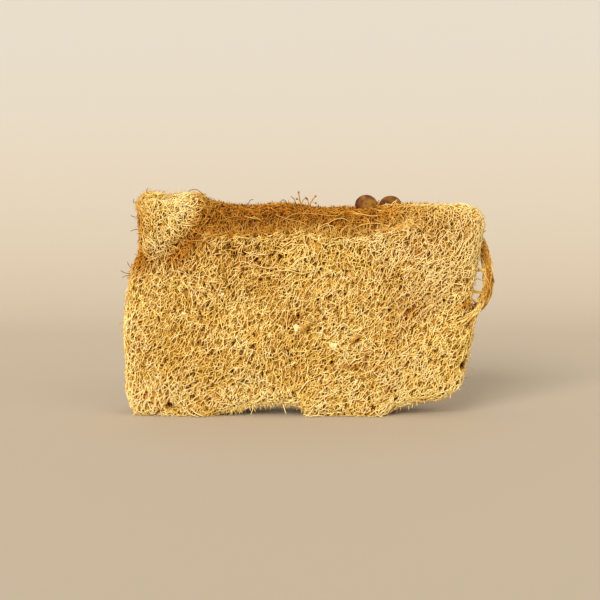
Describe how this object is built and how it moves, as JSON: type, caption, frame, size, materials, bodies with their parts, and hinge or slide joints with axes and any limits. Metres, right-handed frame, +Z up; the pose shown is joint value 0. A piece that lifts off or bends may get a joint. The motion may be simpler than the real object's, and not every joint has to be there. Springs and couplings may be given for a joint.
{
  "type": "natural loofah sponge",
  "caption": "Pad of natural loofah sponge standing on its long edge: felted net of plant fibre with a folded corner, a lip with a trough behind it and a loose strip at one end.",
  "frame": {"origin": "on the ground plane under the middle of the pad's box, where it stands on its long edge", "axes": "+X along the pad's length, +Y from the front face to the back face, +Z up"},
  "size_m": [0.1851, 0.0416, 0.1116],
  "materials": {
    "loofah_fibre": "dry golden plant fibre in a coarse felted net, matt with a slight silky sheen",
    "seed_coat": "smooth brown seed coat, dull satin"
  },
  "bodies": {
    "root": {"loofah_sponge": "loofah_fibre", "seed_left": "seed_coat", "seed_right": "seed_coat"}
  },
  "joints": []
}
